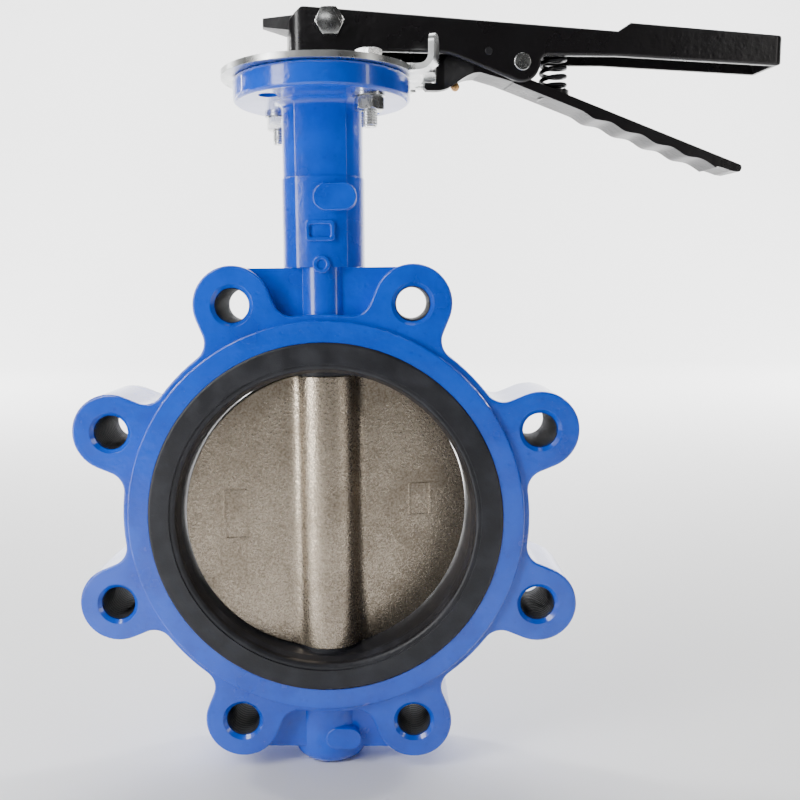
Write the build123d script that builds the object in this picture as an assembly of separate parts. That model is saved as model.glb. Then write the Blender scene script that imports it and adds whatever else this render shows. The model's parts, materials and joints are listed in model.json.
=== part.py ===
"""Lug-type butterfly valve for a 150 mm pipe, with a notched hand lever.

Frame: the origin is the centre of the waterway, where the disc turns. +Z runs up the stem, the pipe runs
along Y, and the lever side of the valve faces -Y. All sizes are in millimetres.

The lever and the disc are drawn one notch open, LEVER_REST_DEG away from the shut position.
"""
from build123d import *

import os
from math import acos, atan2, cos, hypot, radians, sin, sqrt, tan

# ---- the sizes that drive the others ----------------------------------------------------------------
SEAT_RADIUS = 76.2  # bore at the middle, where the disc shuts
FACE_TO_FACE = 56.0  # over the rubber lips
FLANGE_TOP = 225.0  # centre of the pipe to the lever's mounting face
STEM_RADIUS = 9.46
PLATE_THICKNESS = 3.0  # of the notch plate
M8_RADIUS = 4.0
LEVER_WIDTH = 25.0
PIN_RADIUS = 4.5  # the trigger's pivot

# ---- pipe side -------------------------------------------------------------------------------------
BOLT_CIRCLE = 2 * (SEAT_RADIUS + 43.8)  # pitch circle of the flange bolts
LUG_COUNT = 8
LUG_FIRST_DEG = 22.5  # the lugs straddle the centre lines
LUG_RADIUS = 20.0
LUG_LENGTH = FACE_TO_FACE - 8.0
LUG_HOLE_RADIUS = 8.95  # M20 thread, drawn near its inner radius
LUG_HOLE_CHAMFER = 1.9
LUG_BAND_RADIUS = SEAT_RADIUS + 29.8  # the barrel between the lugs
LUG_ROOT_FILLET = 10.0
LUG_EDGE_FILLET = 1.2
RING_RADIUS = SEAT_RADIUS + 26.8
RING_LENGTH = FACE_TO_FACE - 2.0
RING_EDGE_FILLET = 1.0

# ---- rubber seat -----------------------------------------------------------------------------------
SEAT_FLAT = FACE_TO_FACE / 2 - 8.0  # half length of the narrow middle
MOUTH_RADIUS = SEAT_RADIUS + 1.6
MOUTH_START = FACE_TO_FACE / 2 - 4.5
MOUTH_FILLET = 2.0
FACE_STEP = 0.7  # the sealing band stands this proud of the mouth
FACE_STEP_RADIUS = SEAT_RADIUS + 4.8
SEAT_OUTER_RADIUS = SEAT_RADIUS + 7.8
LIP_RADIUS = SEAT_RADIUS + 15.8
LIP_THICKNESS = 4.0
LIP_FILLET = 1.2
SEAT_BOSS_INSET = 0.3  # the flat bosses round the stem are this much slimmer than the hub

# ---- disc ------------------------------------------------------------------------------------------
DISC_GAP = 0.4  # running gap to the seat
HUB_RADIUS = STEM_RADIUS + 8.04
HUB_END_DROP = 2.4  # the hub is cut flat this far inside the rim
PLATE_HALF_AT_HUB = 6.6
PLATE_HALF_AT_RIM = 4.2
HUB_BLEND = 9.0
HUB_END_CHAMFER = 1.2
PAD_HEIGHT = 0.9
PAD_WIDTH = 12.6
PAD_FRAME = 1.1
PAD_OFFSET = SEAT_RADIUS - 26.2
LONG_PAD = 27.0
SHORT_PAD = 18.6

# ---- stem and its housing --------------------------------------------------------------------------
STEM_FIT = 0.05  # radial running fit in bushes and seals
STEM_CLEARANCE = 0.3  # where the stem only passes through
DISC_BORE_FIT = 0.04
SQUARE = 1.48 * STEM_RADIUS  # drive squares at both ends of the upper stem
SQUARE_FIT = 0.1
UPPER_STEM_BOTTOM = 22.0
LOWER_SQUARE_TOP = SEAT_RADIUS - 16.2
LOWER_STEM_TOP = -28.0
HOUSING_RADIUS = STEM_RADIUS + 3.04
NECK_HALF_WIDTH = HOUSING_RADIUS + 8.5
NECK_FRONT = HOUSING_RADIUS + 6.8
NECK_SHOULDER = HOUSING_RADIUS + 4.7
NECK_CREASE = HOUSING_RADIUS + 0.5
NECK_CREASE_FILLET = 1.6
NECK_TO_WASHER = 2.5  # left between the blend under the flange and the washers
LEDGE = 1.1  # the lower part of the neck is thicker by this much
LEDGE_HEIGHT = FLANGE_TOP - 50.0
RIDGE_RADIUS = HOUSING_RADIUS + 0.5
WEB_THICKNESS = 2 * HOUSING_RADIUS + 6.0
WEB_TOP = SEAT_RADIUS + 53.3
BOSS_RADIUS = HOUSING_RADIUS + 7.5
BOSS_BOTTOM = -SEAT_RADIUS - 62.3
BOSS_DOME = 6.0
MARK_FILLET = 0.7
MARK_HEIGHT = 1.0
THUMB_PAD = (22.0, 13.8)
THUMB_PAD_PLACE = (7.0, FLANGE_TOP - 60.5)  # X and Z
THUMB_PAD_SUNK = 1.2
PAD_MARK_HEIGHT = 2.2
FRAME_MARK = (15.0, 10.5)
FRAME_MARK_BAND = 2.2
FRAME_MARK_PLACE = (-0.5, FLANGE_TOP - 77.2)
RING_MARK_RADIUS = 4.6
RING_MARK_PLACE = (0.0, SEAT_RADIUS + 54.8)
BOSS_PAD = (19.0, 12.0)
BOSS_PAD_PLACE = (8.0, BOSS_BOTTOM + 15.5)
BOSS_PAD_SUNK = 1.5
BUSH_LENGTH = 20.0
BUSH_START = SEAT_RADIUS + 11.8  # first bush, just outside the rubber seat
LOWER_BUSH_LENGTH = 28.0
LOWER_STEM_PROUD = 4.0  # past the end of its bush
UPPER_BUSH_DEPTH = 1.0  # below the underside of the flange
SEAL_SECTION_GAP = 0.2
THRUST_WASHER = 1.8
THRUST_PAD = 2.8
CIRCLIP = 1.3
CIRCLIP_GROOVE = 1.2  # depth in the stem
END_GAP = 0.3
DUST_SEAL_RADIUS = HOUSING_RADIUS + 2.5
DUST_SEAL_HEIGHT = 4.5

# ---- top flange and notch plate --------------------------------------------------------------------
FLANGE_THICKNESS = 12.0
FLANGE_RADIUS = 45.5
FLANGE_FILLET = 2.0
TOP_BOLT_CIRCLE = 70.0
TOP_HOLE_RADIUS = M8_RADIUS + 0.75
TOP_HOLE_COUNT = 4
TOP_FIRST_DEG = 45.0
PLATE_RADIUS = 48.0
PLATE_TAIL = 3.5  # the plate is longer than round by this much, away from the notches
PLATE_STEM_RADIUS = STEM_RADIUS + 2.54
RIM_RADIUS = 58.5
RIM_START_DEG = -14.0
RIM_CORNER = 2.0
NOTCH_COUNT = 10
NOTCH_STEP_DEG = 10.0
NOTCH_WIDTH = 5.2
NOTCH_ROOT_RADIUS = 52.5
STOP_DEG = -17.5  # shut stop; the open stop mirrors it about the middle notch
STOP_WIDTH = 10.0
STOP_BEND_RADIUS = 4.0
STOP_PROUD = 2.4  # outside the notched rim
STOP_TOP = FLANGE_TOP + 17.2
STOP_TOP_CORNER = 4.6
STOP_OVERLAP = 4.0  # how far the stop's root runs into the round part of the plate

# ---- fasteners -------------------------------------------------------------------------------------
M8_ACROSS_FLATS = 3.25 * M8_RADIUS
M8_HEAD = 1.325 * M8_RADIUS
M8_NUT = 1.7 * M8_RADIUS
M8_WASHER_RADIUS = 2 * M8_RADIUS
M8_WASHER_HOLE = M8_RADIUS + 0.2
M8_WASHER = 1.6
PLATE_BOLT_LENGTH = 31.0
HEX_CHAMFER = 0.9

# ---- hand lever, in its own frame: X along the arm, the stem at X = 0 --------------------------------
LEVER_REST_DEG = 10.0
LEVER_WALL = 3.0
LEVER_ROOF = 5.0
LEVER_TOP = FLANGE_TOP + 33.0
LEVER_DROOP_DEG = 2.6
HUB_LEFT = -17.0
HUB_RIGHT = 17.0
HUB_CORNER = 8.0  # seen from above
HUB_SIDE_CORNER = 3.0
HUB_TOP_CUT = 6.0
PLATE_TO_LEVER = 1.0
ARM_BOTTOM = FLANGE_TOP + PLATE_THICKNESS + 9.4
CHEEK_START = 64.0
CHEEK_RADIUS = PIN_RADIUS + 5.5
CHEEK_BLEND = 22.0
CHEEK_END_BLEND = 4.0
GRIP_START = 155.0
GRIP_STEP = 7.0
GRIP_RISE = 4.8
GRIP_BOTTOM_START = ARM_BOTTOM + 1.0
GRIP_BOTTOM_END = ARM_BOTTOM - 1.6
GRIP_END = 249.5
GRIP_END_CORNER = 4.0
GRIP_PLAN_CORNER = 5.0
CHANNEL_START = 24.0
CHANNEL_END = 244.5
CHANNEL_CORNER = 4.0
LEVER_EDGE_FILLET = 1.4
POINTER_TIP = -29.5
POINTER_TOP = LEVER_TOP - 3.4
POINTER_THICKNESS = 7.5
POINTER_TIP_THICKNESS = 4.2
POINTER_HALF_WIDTH = 8.0
POINTER_TIP_HALF_WIDTH = 2.0
POINTER_TIP_DROP = 0.6
SET_BOLT_X = 2.5
SET_BOLT_Z = LEVER_TOP - 8.0

# ---- squeeze trigger -------------------------------------------------------------------------------
PIVOT_X = 103.0
PIVOT_Z = ARM_BOTTOM - 3.3
PIN_FIT = 0.06
PIN_PROUD = 0.6
PIN_TAIL = 3.0
CLIP_THICKNESS = 1.2
CLIP_RADIUS = PIN_RADIUS + 2.3
STOP_PIN_X = 85.0
STOP_PIN_Z = ARM_BOTTOM + 1.4
STOP_PIN_RADIUS = 2.0
STOP_PIN_PROUD = 0.4
TRIGGER_SIDE_GAP = 0.5  # to each wall of the lever's channel
TRIGGER_SLOPE_DEG = 19.3
TRIGGER_BOSS = PIN_RADIUS + 2.5
HANDLE_LENGTH = 136.5  # pivot to tip, along the handle
HANDLE_TOP_OFFSET = 5.7  # the handle's top line runs this far below the pivot
HANDLE_THICKNESS = 5.65
SCALLOP_COUNT = 5
SCALLOP_START = 48.0
SCALLOP_PITCH = 18.6
SCALLOP_HEIGHT = 0.75
HANDLE_TIP_FILLET = 1.8
NOSE_END = 53.6
NOSE_STEP = 59.7
NOSE_TOP_GAP = 0.4  # under the notch plate
NOSE_BACK_TOP = PIVOT_Z - 1.6
NOSE_HUMP_START = 66.0
NOSE_HUMP_END = 76.0
NOSE_HUMP_TOP = PIVOT_Z + 4.5
NOSE_ROOT_DROP = 10.4
NOSE_BOTTOM = FLANGE_TOP - 4.1
NOSE_ARCH_X = 82.0
NOSE_ARCH_Z = FLANGE_TOP + 4.0
NOSE_ARCH_TOP = PIVOT_Z + 0.1
PAWL_WIDTH = 4.4
PAWL_FLARE_START = 64.0
PAWL_FLARE_END = 78.0
RIVET_X = 70.5
RIVET_RADIUS = 2.3
RIVET_SHANK = 1.5
RIVET_LENGTH = 8.0
RIVET_HEAD_DROP = 1.6

# ---- return spring ---------------------------------------------------------------------------------
SPRING_X = 124.0
SPRING_MEAN_RADIUS = 6.3
SPRING_WIRE_RADIUS = 1.15
SPRING_PITCH = 5.1
SPRING_SEAT_RADIUS = 8.4
SPRING_SEAT_RISE = 1.4
SPRING_SEAT_ROOT = 3.0

# ---- worked out from the sizes above ----------------------------------------------------------------
DISC_RADIUS = SEAT_RADIUS - DISC_GAP
HUB_END = DISC_RADIUS - HUB_END_DROP
FLANGE_BOTTOM = FLANGE_TOP - FLANGE_THICKNESS
NECK_FLANGE_FILLET = TOP_BOLT_CIRCLE / 2 - M8_WASHER_RADIUS - NECK_HALF_WIDTH - NECK_TO_WASHER
PLATE_TOP = FLANGE_TOP + PLATE_THICKNESS
LEVER_BOTTOM = PLATE_TOP + PLATE_TO_LEVER
UPPER_BUSH_TOP = FLANGE_BOTTOM - UPPER_BUSH_DEPTH
MIDDLE_BUSH_LOW = (BUSH_START + UPPER_BUSH_TOP - BUSH_LENGTH) / 2
LOWER_BUSH_END = -(BUSH_START + LOWER_BUSH_LENGTH)
LOWER_STEM_END = LOWER_BUSH_END - LOWER_STEM_PROUD
LOWER_BORE_END = LOWER_STEM_END - END_GAP - THRUST_PAD
CIRCLIP_LOW = UPPER_BUSH_TOP + THRUST_WASHER + END_GAP
TRIGGER_SLOPE = tan(radians(TRIGGER_SLOPE_DEG))
HANDLE_TOP_Z = PIVOT_Z - HANDLE_TOP_OFFSET / cos(radians(TRIGGER_SLOPE_DEG))
SPRING_SEAT_Z = HANDLE_TOP_Z - (SPRING_X - PIVOT_X) * TRIGGER_SLOPE + SPRING_SEAT_RISE


def tube(outer, inner, low, high):
    """A plain ring about the stem, from one height to another."""
    height = high - low
    return Pos(0, 0, low + height / 2) * (Cylinder(outer, height) - Cylinder(inner, height))


def rod(radius, low, high):
    """A round bar about the stem, from one height to another."""
    return Pos(0, 0, (low + high) / 2) * Cylinder(radius, high - low)


def polar(radius, degrees):
    """The X and Y of a point on a circle about the stem."""
    return radius * cos(radians(degrees)), radius * sin(radians(degrees))


def lug_degrees():
    """Where each lug stands round the pipe."""
    return [LUG_FIRST_DEG + 360 / LUG_COUNT * i for i in range(LUG_COUNT)]


def about_pipe(solid):
    """Turns something built about Z so that it stands about the pipe axis."""
    return Rot(90, 0, 0) * solid


def lever_frame(solid):
    """Carries something from the lever's own frame to where the lever rests."""
    return Rot(0, 0, LEVER_REST_DEG) * solid


def side_profile(face, width):
    """Extrudes a face drawn in X and Z to both sides of the lever's middle."""
    return extrude(Plane.XZ * face, width / 2, both=True)


def arm_top(x):
    """Height of the lever's sloping top line, before the grip's step."""
    return LEVER_TOP - x * tan(radians(LEVER_DROOP_DEG))


# ---- valve body --------------------------------------------------------------------------------------
def lug_plate():
    """The ring of eight lugs, with the hollows between lug and ring rounded."""
    reach = BOLT_CIRCLE / 2
    base = LUG_BAND_RADIUS
    outline = Circle(base)
    for angle in lug_degrees():
        outline += Rot(0, 0, angle) * (Pos(reach / 2, 0) * Rectangle(reach, 2 * LUG_RADIUS))
        outline += Pos(*polar(reach, angle)) * Circle(LUG_RADIUS)
    hollow = [v for v in outline.vertices() if hypot(v.X, v.Y) < base + 1]
    outline = fillet(hollow, LUG_ROOT_FILLET)
    plate = extrude(outline, LUG_LENGTH / 2, both=True)
    rims = plate.edges().filter_by_position(Axis.Z, LUG_LENGTH / 2 - 0.1, LUG_LENGTH / 2 + 0.1)
    rims += plate.edges().filter_by_position(Axis.Z, -LUG_LENGTH / 2 - 0.1, 0.1 - LUG_LENGTH / 2)
    return about_pipe(fillet(rims, LUG_EDGE_FILLET))


def ring():
    """The round barrel whose faces stand a little proud of the lugs."""
    barrel = Cylinder(RING_RADIUS, RING_LENGTH)
    return about_pipe(fillet(barrel.edges().filter_by(GeomType.CIRCLE), RING_EDGE_FILLET))


def webs():
    """The walls between the two top lugs and between the two bottom lugs."""
    half = BOLT_CIRCLE / 2 * cos(radians(90 - LUG_FIRST_DEG))
    depth = WEB_TOP - SEAT_OUTER_RADIUS
    middle = WEB_TOP - depth / 2
    wall = Box(2 * half, WEB_THICKNESS, depth)
    return Pos(0, 0, middle) * wall + Pos(0, 0, -middle) * wall


def neck_section(step):
    """The neck cut across, grown by a step: round flanks, and a crease each side of a flatter face."""
    x = NECK_CREASE
    y = NECK_SHOULDER + step / 2
    front = NECK_FRONT + step
    flank = NECK_HALF_WIDTH + step / 2
    face = ThreePointArc((-x, -y), (0, -front), (x, -y))
    right = ThreePointArc((x, -y), (flank, 0), (x, y))
    back = ThreePointArc((x, y), (0, front), (-x, y))
    left = ThreePointArc((-x, y), (-flank, 0), (-x, -y))
    section = make_face([face, right, back, left])
    return fillet(section.vertices(), NECK_CREASE_FILLET)


def neck():
    """The stem housing from the web to the top flange, thicker below the ledge."""
    upper = extrude(neck_section(0), FLANGE_BOTTOM - LEDGE_HEIGHT + 1)
    lower = extrude(neck_section(LEDGE), LEDGE_HEIGHT - WEB_TOP)
    return Pos(0, 0, LEDGE_HEIGHT) * upper + Pos(0, 0, WEB_TOP) * lower


def column():
    """The neck and the top flange, blended where they meet."""
    joined = neck() + top_flange()
    level = joined.edges().filter_by_position(Axis.Z, FLANGE_BOTTOM - 0.01, FLANGE_BOTTOM + 0.01)
    root = [e for e in level if e.bounding_box().size.X < 2.1 * NECK_HALF_WIDTH]
    return fillet(root, NECK_FLANGE_FILLET)


def stem_ridges():
    """Half-round ridges over the stem, on both faces of the upper web."""
    height = WEB_TOP + 1 - SEAT_OUTER_RADIUS
    reach = NECK_FRONT + LEDGE - RIDGE_RADIUS
    ridge = Pos(0, -reach, SEAT_OUTER_RADIUS + height / 2) * Cylinder(RIDGE_RADIUS, height)
    return ridge + mirror(ridge, Plane.XZ)


def raised(outline, place, front, height):
    """A plain raised mark on the front of the casting, with its front edge rounded."""
    mark = Pos(place[0], front, place[1]) * about_pipe(extrude(outline, 2 * height, both=True))
    face = front - 2 * height
    rim = mark.edges().filter_by_position(Axis.Y, face - 0.1, face + 0.1)
    return Pos(0, height, 0) * fillet(rim, MARK_FILLET)


def neck_marks():
    """Plain raised castings on the front of the neck: a thumb pad, a frame and a small ring."""
    front = -(NECK_FRONT + LEDGE)
    width, height = FRAME_MARK
    band = 2 * FRAME_MARK_BAND
    frame = RectangleRounded(width, height, FRAME_MARK_BAND)
    frame -= RectangleRounded(width - band, height - band, FRAME_MARK_BAND / 2)
    circle = Circle(RING_MARK_RADIUS) - Circle(RING_MARK_RADIUS / 2)
    return [
        raised(SlotOverall(*THUMB_PAD), THUMB_PAD_PLACE, front + THUMB_PAD_SUNK, PAD_MARK_HEIGHT),
        raised(frame, FRAME_MARK_PLACE, front, MARK_HEIGHT),
        raised(circle, RING_MARK_PLACE, front, MARK_HEIGHT),
    ]


def bottom_boss():
    """The closed round end of the lower stem housing, with its own thumb pad."""
    boss = rod(BOSS_RADIUS, BOSS_BOTTOM, -SEAT_OUTER_RADIUS)
    boss = fillet(boss.edges().filter_by(GeomType.CIRCLE).sort_by(Axis.Z)[0], BOSS_DOME)
    front = BOSS_PAD_SUNK - BOSS_RADIUS
    return boss + raised(SlotOverall(*BOSS_PAD), BOSS_PAD_PLACE, front, PAD_MARK_HEIGHT)


def top_flange():
    """The mounting flange that carries the lever's notch plate."""
    flange = rod(FLANGE_RADIUS, FLANGE_BOTTOM, FLANGE_TOP)
    return fillet(flange.edges().filter_by(GeomType.CIRCLE), FLANGE_FILLET)


def flange_holes(radius, low, high):
    """The four bolt holes of the top flange."""
    first = Pos(*polar(TOP_BOLT_CIRCLE / 2, TOP_FIRST_DEG)) * rod(radius, low, high)
    return [Rot(0, 0, 360 / TOP_HOLE_COUNT * i) * first for i in range(TOP_HOLE_COUNT)]


def lug_hole():
    """One tapped lug hole, chamfered at both mouths, along the pipe."""
    hole = Cylinder(LUG_HOLE_RADIUS, LUG_LENGTH)
    cone = Cone(LUG_HOLE_RADIUS + LUG_HOLE_CHAMFER, LUG_HOLE_RADIUS, LUG_HOLE_CHAMFER)
    mouth = Pos(0, 0, (LUG_HOLE_CHAMFER - LUG_LENGTH) / 2) * cone
    return about_pipe(hole + mouth + Rot(180, 0, 0) * mouth)


def body():
    """The whole casting, bored for the seat, the stem, the bushes and the bolts."""
    cast = lug_plate() + ring() + webs() + stem_ridges() + column() + bottom_boss() + neck_marks()
    cast -= about_pipe(Cylinder(SEAT_OUTER_RADIUS, RING_LENGTH + 2))
    behind_lip = FACE_TO_FACE / 2 - LIP_THICKNESS
    for facing in (90, -90):
        cast -= Rot(facing, 0, 0) * rod(LIP_RADIUS, behind_lip, RING_LENGTH)
    cast -= rod(HOUSING_RADIUS, 0, FLANGE_TOP)
    cast -= rod(DUST_SEAL_RADIUS, FLANGE_TOP - DUST_SEAL_HEIGHT, FLANGE_TOP)
    cast -= rod(HOUSING_RADIUS, LOWER_BORE_END, 0)
    cast -= flange_holes(TOP_HOLE_RADIUS, FLANGE_BOTTOM - 1, FLANGE_TOP)
    hole = lug_hole()
    reach = BOLT_CIRCLE / 2
    for angle in lug_degrees():
        x, z = polar(reach, angle)
        cast -= Pos(x, 0, z) * hole
    return cast


# ---- seat, disc and stems ------------------------------------------------------------------------------
def seat():
    """The moulded rubber liner: a thin barrel with a wide lip at each face."""
    face = FACE_TO_FACE / 2
    half = make_face(Polyline(
        (SEAT_RADIUS, 0), (SEAT_RADIUS, SEAT_FLAT), (MOUTH_RADIUS, MOUTH_START),
        (MOUTH_RADIUS, face - FACE_STEP), (FACE_STEP_RADIUS, face - FACE_STEP), (FACE_STEP_RADIUS, face),
        (LIP_RADIUS, face), (LIP_RADIUS, face - LIP_THICKNESS), (SEAT_OUTER_RADIUS, face - LIP_THICKNESS),
        (SEAT_OUTER_RADIUS, 0), close=True))
    mouth = [v for v in half.vertices() if v.Y > MOUTH_START + 1 and v.X < MOUTH_RADIUS + 0.1]
    half = fillet(mouth, MOUTH_FILLET)
    rim = [v for v in half.vertices() if v.Y > face - 0.1 and v.X > LIP_RADIUS - 0.1]
    half = fillet(rim, LIP_FILLET)
    profile = half + mirror(half, Plane.XZ)
    liner = about_pipe(revolve(Plane.XZ * profile, Axis.Z))
    boss = rod(HUB_RADIUS - SEAT_BOSS_INSET, HUB_END + DISC_GAP, SEAT_RADIUS + 2)
    liner += boss + mirror(boss, Plane.XY)
    return liner - rod(STEM_RADIUS + STEM_CLEARANCE, -LIP_RADIUS, LIP_RADIUS)


def disc_section():
    """The disc cut across the stem: a round hub that blends into tapered wings."""
    root = sqrt(HUB_RADIUS ** 2 - PLATE_HALF_AT_HUB ** 2)
    wings = make_face(Polyline(
        (0, PLATE_HALF_AT_HUB), (root, PLATE_HALF_AT_HUB), (DISC_RADIUS + 1, PLATE_HALF_AT_RIM),
        (DISC_RADIUS + 1, -PLATE_HALF_AT_RIM), (root, -PLATE_HALF_AT_HUB), (-root, -PLATE_HALF_AT_HUB),
        (-DISC_RADIUS - 1, -PLATE_HALF_AT_RIM), (-DISC_RADIUS - 1, PLATE_HALF_AT_RIM),
        (-root, PLATE_HALF_AT_HUB), close=True))
    section = Circle(HUB_RADIUS) + wings
    hollow = [v for v in section.vertices() if abs(hypot(v.X, v.Y) - HUB_RADIUS) < 0.2]
    return fillet(hollow, HUB_BLEND)


def pad(height, side):
    """A plain raised frame on the front of one wing."""
    outer = RectangleRounded(PAD_WIDTH, height, 1)
    inner = RectangleRounded(PAD_WIDTH - 2 * PAD_FRAME, height - 2 * PAD_FRAME, 0.5)
    share = PAD_OFFSET / DISC_RADIUS
    surface = PLATE_HALF_AT_HUB + (PLATE_HALF_AT_RIM - PLATE_HALF_AT_HUB) * share
    frame = extrude(outer - inner, surface + PAD_HEIGHT)
    return Pos(side * PAD_OFFSET, 0, 0) * about_pipe(frame)


def disc():
    """The closing disc, turned with the lever, with blind bores for both stems."""
    blank = extrude(disc_section(), HUB_END, both=True) & Sphere(DISC_RADIUS)
    hub = rod(HUB_RADIUS, -HUB_END, HUB_END)
    hub = chamfer(hub.edges().filter_by(GeomType.CIRCLE), HUB_END_CHAMFER)
    wing = blank + hub + pad(LONG_PAD, -1) + Pos(0, 0, 4) * pad(SHORT_PAD, 1)
    wing -= rod(STEM_RADIUS + DISC_BORE_FIT, LOWER_SQUARE_TOP, HUB_END)
    wing -= rod(STEM_RADIUS + DISC_BORE_FIT, -HUB_END, LOWER_STEM_TOP + END_GAP)
    side = SQUARE + 2 * DISC_BORE_FIT
    depth = LOWER_SQUARE_TOP - UPPER_STEM_BOTTOM + END_GAP
    wing -= Pos(0, 0, LOWER_SQUARE_TOP - depth / 2) * Box(side, side, depth)
    return lever_frame(wing)


def square_bar(side, low, high):
    """A square bar about the stem with its corners turned to the stem's diameter."""
    bar = Pos(0, 0, (low + high) / 2) * Box(side, side, high - low)
    return bar & rod(STEM_RADIUS, low, high)


def upper_stem():
    """The drive stem: a square end in the disc, a round journal with a groove, a square in the lever."""
    journal = rod(STEM_RADIUS, LOWER_SQUARE_TOP, LEVER_BOTTOM)
    groove = tube(STEM_RADIUS + 1, STEM_RADIUS - CIRCLIP_GROOVE, CIRCLIP_LOW, CIRCLIP_LOW + CIRCLIP + 0.1)
    stem = journal - groove
    stem += square_bar(SQUARE, UPPER_STEM_BOTTOM, LOWER_SQUARE_TOP)
    stem += square_bar(SQUARE, LEVER_BOTTOM, LEVER_TOP - 2)
    return lever_frame(stem)


def lower_stem():
    """The short trunnion under the disc."""
    stem = rod(STEM_RADIUS, LOWER_STEM_END, LOWER_STEM_TOP)
    return chamfer(stem.edges().filter_by(GeomType.CIRCLE), 1)


def bush(low, high):
    """A sintered bush pressed into the housing, running on the stem."""
    return tube(HOUSING_RADIUS, STEM_RADIUS + STEM_FIT, low, high)


def stem_seals():
    """Two O-rings round the upper stem, one above each of the lower two bushes."""
    inner = STEM_RADIUS + STEM_FIT
    section = (HOUSING_RADIUS - inner) / 2
    ring_solid = Torus(inner + section, section)
    heights = [BUSH_START + BUSH_LENGTH, MIDDLE_BUSH_LOW + BUSH_LENGTH]
    return [Pos(0, 0, height + section + SEAL_SECTION_GAP) * ring_solid for height in heights]


def circlip():
    """The open ring that holds the stem down, in the stem's groove."""
    outer = HOUSING_RADIUS - 0.6
    clip = tube(outer, STEM_RADIUS - CIRCLIP_GROOVE + 0.05, CIRCLIP_LOW + 0.05, CIRCLIP_LOW + 0.05 + CIRCLIP)
    gap = Pos(outer, 0, CIRCLIP_LOW) * Box(outer, 5, 6)
    return lever_frame(clip - gap)


# ---- notch plate and its fasteners ---------------------------------------------------------------------
def stop_tab():
    """One stop, a tongue of the plate bent straight up, drawn along X."""
    outer = RIM_RADIUS + STOP_PROUD
    inner = outer - PLATE_THICKNESS
    bend = inner - STOP_BEND_RADIUS
    low = PLATE_TOP + STOP_BEND_RADIUS
    root = PLATE_RADIUS - STOP_OVERLAP
    level = FLANGE_TOP + PLATE_THICKNESS / 2
    flat = Pos((root + bend) / 2, 0, level) * Box(bend - root, STOP_WIDTH, PLATE_THICKNESS)
    size = STOP_BEND_RADIUS + PLATE_THICKNESS
    quarter = Cylinder(size, STOP_WIDTH) - Cylinder(STOP_BEND_RADIUS, STOP_WIDTH)
    quarter = Pos(bend, 0, low) * about_pipe(quarter)
    quarter &= Pos(bend + size / 2, 0, low - size / 2) * Box(size, STOP_WIDTH, size)
    upright = Box(PLATE_THICKNESS, STOP_WIDTH, STOP_TOP - low)
    upright = Pos((inner + outer) / 2, 0, (low + STOP_TOP) / 2) * upright
    top_corners = upright.edges().filter_by(Axis.X).sort_by(Axis.Z)[-2:]
    return flat + quarter + fillet(top_corners, STOP_TOP_CORNER)


def rim_sector():
    """The wide part of the plate that the notches are cut in."""
    span = (NOTCH_COUNT - 1) * NOTCH_STEP_DEG - 2 * RIM_START_DEG
    arc = CenterArc((0, 0), RIM_RADIUS, RIM_START_DEG, span)
    sector = make_face([arc, Polyline(arc @ 1, (0, 0), arc @ 0)])
    corners = [v for v in sector.vertices() if hypot(v.X, v.Y) > 1]
    return fillet(corners, RIM_CORNER)


def notch_plate():
    """The plated steel quadrant under the lever: ten notches and two stops."""
    round_part = Pos(-PLATE_TAIL / 2, 0) * SlotCenterToCenter(PLATE_TAIL, 2 * PLATE_RADIUS)
    sheet = round_part + rim_sector() - Circle(PLATE_STEM_RADIUS)
    slot_length = RIM_RADIUS - NOTCH_ROOT_RADIUS + 4
    slot = Pos(NOTCH_ROOT_RADIUS + slot_length / 2, 0) * Rectangle(slot_length, NOTCH_WIDTH)
    for i in range(NOTCH_COUNT):
        sheet -= Rot(0, 0, NOTCH_STEP_DEG * i) * slot
    plate = Pos(0, 0, FLANGE_TOP) * extrude(sheet, PLATE_THICKNESS)
    plate -= flange_holes(TOP_HOLE_RADIUS, FLANGE_TOP, PLATE_TOP)
    tab = stop_tab()
    middle = (NOTCH_COUNT - 1) * NOTCH_STEP_DEG / 2
    return plate + Rot(0, 0, STOP_DEG) * tab + Rot(0, 0, 2 * middle - STOP_DEG) * tab


def hexagon(height):
    """A hexagon head or nut blank standing on Z = 0, with its outer corners eased."""
    blank = extrude(RegularPolygon(M8_ACROSS_FLATS / 2, 6, major_radius=False), height)
    corner = M8_ACROSS_FLATS / sqrt(3)
    dome = Cone(corner + height, corner - HEX_CHAMFER, height + HEX_CHAMFER,
                align=(Align.CENTER, Align.CENTER, Align.MIN))
    return blank & dome


def at_plate_bolts(solid):
    """Copies a piece to the flange holes that hold the plate, at the front right and the back left."""
    places = [polar(TOP_BOLT_CIRCLE / 2, degrees) for degrees in (-TOP_FIRST_DEG, 180 - TOP_FIRST_DEG)]
    return [Pos(x, y) * solid for x, y in places]


def plate_bolts():
    """Two hexagon bolts down through the notch plate and the flange."""
    shank = rod(M8_RADIUS, PLATE_TOP - PLATE_BOLT_LENGTH, PLATE_TOP)
    shank = chamfer(shank.edges().filter_by(GeomType.CIRCLE).sort_by(Axis.Z)[0], 0.8)
    return at_plate_bolts(shank + Pos(0, 0, PLATE_TOP) * hexagon(M8_HEAD))


def plate_washers():
    """A flat washer under the flange on each bolt."""
    low = FLANGE_BOTTOM - M8_WASHER
    return at_plate_bolts(tube(M8_WASHER_RADIUS, M8_WASHER_HOLE, low, FLANGE_BOTTOM))


def plate_nuts():
    """A nut under each washer."""
    top = FLANGE_BOTTOM - M8_WASHER
    nut = Pos(0, 0, top) * Rot(180, 0, 15) * hexagon(M8_NUT)
    return at_plate_bolts(nut - rod(M8_RADIUS, top - M8_NUT, top))


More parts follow.
